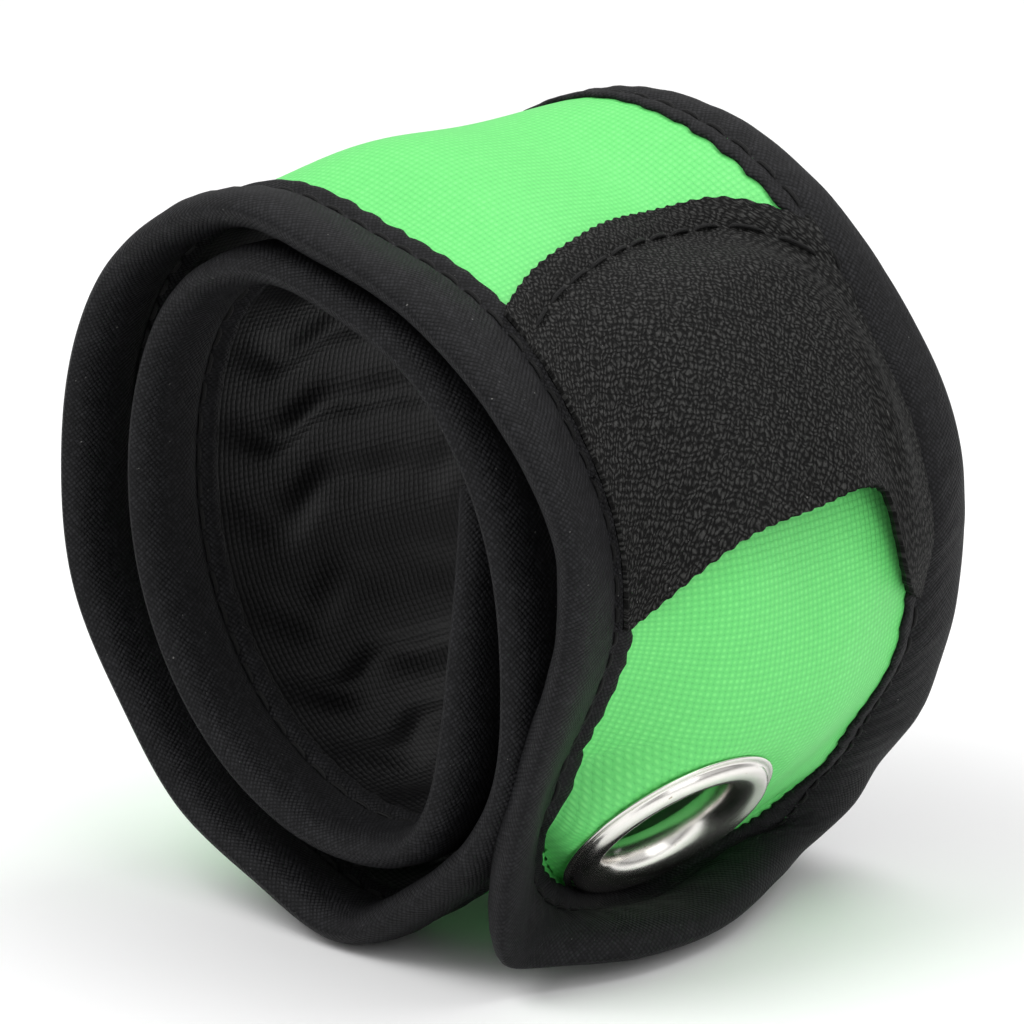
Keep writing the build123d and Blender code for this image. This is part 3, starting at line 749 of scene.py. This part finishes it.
def elastic(share, v, depth):
    """Points of the elastic: share runs from the sewn edge, 0, to the free one, 1.

    Depth is 1 on its outer face and -1 on its inner one."""
    shape = share.shape
    flat_v = v.ravel()
    sewn, free, bulge, edge = spline(ELASTIC[:, 0], ELASTIC[:, 1:], flat_v).T.reshape((4,) + shape)
    s = sewn + (free - sewn) * share
    rise = smooth(0.12, 0.42, share) * (bulge + (edge - bulge) * smooth(0.55, 1.0, share))
    seam = np.exp(-((share - SEAM_SHARE) / 0.03) ** 2)
    return place(s, v, ELASTIC_REST + np.maximum(rise, 0) - SEAM_SINK * seam + ELASTIC_HALF * depth)


def knit_bumps(share, v):
    """The knit's loops as small real bumps, uneven as in the photo."""
    a, b = share * ELASTIC_LONG / LOOP, v / LOOP
    rows = np.sin(pi * (a + b) + waves(b / 4, 1))
    return 0.5 * rows * np.sin(pi * (a - b) + waves(a / 4, 2))


share, v = np.meshgrid(np.linspace(0, 1, 150), np.linspace(ELASTIC_REACH, -ELASTIC_REACH, 150),
                       indexing="ij")
scallop = SCALLOP / ELASTIC_LONG * np.sin(2 * pi * v / SCALLOP_LENGTH)
scalloped = share + scallop * (smooth(0.9, 1, share) - smooth(0.1, 0, share))
points, normals = [], []
for depth in (1, -1):
    rough = depth * (1 + LOOP_HEIGHT * knit_bumps(share, v))
    points.append(elastic(scalloped, v, rough).reshape(-1, 3))
    normals.append(depth * outward(elastic(scalloped, v, depth), False).reshape(-1, 3))
weave = np.tile(np.stack([share.ravel() * ELASTIC_LONG, v.ravel()], 1), (2, 1))
pocket = build("elastic_band", np.concatenate(points), thick_faces(quads(*share.shape, False), share.size),
               weave, np.concatenate(normals), black_knit)
on_panel(pocket)
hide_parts("elastic_pocket")


def pocket_seam(along, aside, up):
    return elastic(SEAM_SHARE + aside / ELASTIC_LONG, along, 1 + (up + 0.1) / ELASTIC_HALF)


piece = stitches("pocket_seam", np.arange(-15.4, 14, STITCH_PITCH), pocket_seam, -1, black_thread)
on_panel(piece)
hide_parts("pocket_seam_thread")


# ---------------------------------------------------------------- eyelet and washer
# Each profile is (radius, height over the cloth's middle), once round the metal's section. From the
# outer rim it goes back along the hidden side and comes round to the seen one.
EYELET_PROFILE = [
    (9.98, 0.88), (9.1, 0.95), (8.8, 1.4), (8.3, 1.6), (7.5, 1.35), (6.95, 0.9), (6.65, 0.3),
    (6.55, -0.4), (6.62, -1.0), (6.8, -1.3), (7.1, -1.28), (7.3, -1.36), (7.2, -1.5), (6.8, -1.6),
    (6.3, -1.46), (6.06, -1.0), (6.03, -0.3), (6.14, 0.4), (6.38, 0.98), (6.75, 1.42), (7.2, 1.74),
    (7.7, 1.96), (8.2, 2.07), (8.6, 2.06), (8.95, 1.92), (9.2, 1.66), (9.36, 1.34), (9.44, 1.16),
    (9.6, 1.16), (9.95, 1.12), (10.05, 1.0)]
WASHER_PROFILE = [
    (9.4, -0.88), (9.5, -0.98), (9.4, -1.06), (8.9, -1.12), (8.2, -1.18), (7.4, -1.2), (6.9, -1.18),
    (6.75, -1.1), (6.9, -1.02), (7.6, -0.98), (8.6, -0.9)]
axis = Vector(EYELET_NORMAL).normalized()
side_way = axis.cross(Vector((0, 1, 0))).normalized()
ring_axes = np.array([side_way, axis.cross(side_way), axis])
RING_STEPS = 144  # round the hole
# Way is the direction in which the flat places run round the profile.
for name, profile, way, cad_name in (("eyelet_ring", EYELET_PROFILE, -1, "eyelet"),
                                     ("washer_ring", WASHER_PROFILE, 1, "eyelet_washer")):
    knots = np.array(profile + profile[:1])
    length = np.r_[0, np.cumsum(np.linalg.norm(np.diff(knots, axis=0), axis=1))]
    radius, height = spline(length, knots, np.linspace(0, length[-1], 3 * len(profile) + 1)[:-1]).T
    turn = (np.arange(RING_STEPS) * 2 * pi / RING_STEPS)[:, None]
    local = np.stack([np.cos(turn) * radius, np.sin(turn) * radius, height + 0 * turn], -1)
    points = local @ ring_axes + EYELET_CENTRE
    over_profile = np.roll(points, -1, axis=1) - np.roll(points, 1, axis=1)
    around = np.roll(points, -1, axis=0) - np.roll(points, 1, axis=0)
    order = way * np.arange(len(radius)) % len(radius)
    weave = np.stack([turn * 8 + 0 * radius, order * 0.2 + 0 * turn], -1)
    ring = build(name, points.reshape(-1, 3), list(quads(*points.shape[:2], True, ring=True)),
                 weave.reshape(-1, 2), across(over_profile, around).reshape(-1, 3), nickel)
    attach(ring, "end_flap")
    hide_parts(cad_name)


# ---------------------------------------------------------------- the insert in the pocket
INSERT_HALF = 7.5  # of its length and its width
INSERT_CORNER = 2.5
INSERT_THICK = 1.0
# Its rim's section: (size, height as a share of the thickness).
INSERT_RIM = ((0.9611, -0.5), (1.0, -0.2917), (1.0, 0.2917), (0.9611, 0.5))
RIM_TILT = 7.2  # how much the rim's normals lean to its faces
INSERT_CENTRE = np.array([27.4, 4.6, 45.9])
slide = Vector((0.6733, 0, -0.7393))
insert_up = Vector((0.7393, -0.1, 0.6733)).normalized()  # it leans a little, as the elastic over it does
insert_axes = np.array([slide, insert_up.cross(slide).normalized(), insert_up])
corner = np.repeat([(1, 1), (-1, 1), (-1, -1), (1, -1)], 7, axis=0)
angle = pi / 2 * (np.repeat(np.arange(4), 7) + np.tile(np.arange(7) / 6, 4))
flat = corner * (INSERT_HALF - INSERT_CORNER) + INSERT_CORNER * np.c_[np.cos(angle), np.sin(angle)]
local = np.stack([np.c_[flat * size, np.full(len(flat), height * INSERT_THICK)]
                  for size, height in INSERT_RIM])
normals = np.stack([np.c_[flat, np.full(len(flat), height * RIM_TILT)]
                    for _, height in INSERT_RIM]) @ insert_axes
normals /= np.linalg.norm(normals, axis=-1, keepdims=True)
insert = tube("pocket_plate", local @ insert_axes + INSERT_CENTRE, normals, local[..., :2], insert_board)
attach(insert, "insert")
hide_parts("pocket_insert")


# ---------------------------------------------------------------- floor, lights and camera
shown = [o for o in bpy.context.scene.objects if o.type == "MESH" and not o.hide_render]
lowest = min(min(v.co.z for v in o.data.vertices) for o in shown)
bpy.ops.mesh.primitive_plane_add(size=6.0, location=(0, 0, lowest - 0.0001))
floor = bpy.context.object
floor.name = "floor"
paper = Shader("studio_floor", 0.7, specular=0.2)
spots = paper.node("TexNoise")
spots.inputs["Scale"].default_value = 30.0
floor.data.materials.append(paper.finish(
    paper.ramp(spots.outputs[0], [(0.0, (0.93, 0.93, 0.93)), (1.0, (0.96, 0.96, 0.96))]),
    paper.bump(spots.outputs[0], 0.02, 0.2)))

world = bpy.data.worlds.new("studio")
bpy.context.scene.world = world
world.use_nodes = True
tree = world.node_tree
sky = tree.nodes["Background"]
sky.inputs["Strength"].default_value = 0.75
ways = tree.nodes.new("ShaderNodeTexCoord")
parts = tree.nodes.new("ShaderNodeSeparateXYZ")
bands = tree.nodes.new("ShaderNodeValToRGB")
for _ in range(3):
    bands.color_ramp.elements.new(0.5)
for element, (at, grey) in zip(bands.color_ramp.elements,
                               ((0.0, 0.95), (0.14, 0.6), (0.2, 0.08), (0.27, 0.85), (1.0, 1.0))):
    element.position = at
    element.color = (grey, grey, grey, 1)
tree.links.new(ways.outputs["Generated"], parts.inputs[0])
tree.links.new(parts.outputs[2], bands.inputs[0])
tree.links.new(bands.outputs[0], sky.inputs["Color"])

TARGET = Vector((DRAWING_SHIFT_X / 1000, 0, 0.032))


def softbox(name, place_at, size, power):
    light = bpy.data.lights.new(name, "AREA")
    light.shape = "RECTANGLE"
    light.size, light.size_y = size
    light.energy = power
    lamp = bpy.data.objects.new(name, light)
    lamp.location = TARGET + Vector(place_at)
    lamp.rotation_euler = (TARGET - lamp.location).to_track_quat("-Z", "Y").to_euler()
    bpy.context.scene.collection.objects.link(lamp)


softbox("key", (-0.25, -0.45, 0.75), (0.5, 0.5), 3.6)
softbox("top", (0.15, 0.3, 0.8), (0.7, 0.5), 3.0)
softbox("fill", (0.75, -0.15, 0.35), (0.5, 0.6), 1.0)

AZIMUTH, ELEVATION, DISTANCE = radians(44), radians(15), 0.43
back = Vector((sin(AZIMUTH) * cos(ELEVATION), -cos(AZIMUTH) * cos(ELEVATION), sin(ELEVATION)))
view = bpy.data.cameras.new("camera")
view.sensor_width = 36
view.lens = 175.4
camera = bpy.data.objects.new("camera", view)
camera.location = TARGET + DISTANCE * back
camera.rotation_euler = back.to_track_quat("Z", "Y").to_euler()
bpy.context.scene.collection.objects.link(camera)
bpy.context.scene.camera = camera
bpy.context.scene.view_settings.view_transform = "Standard"
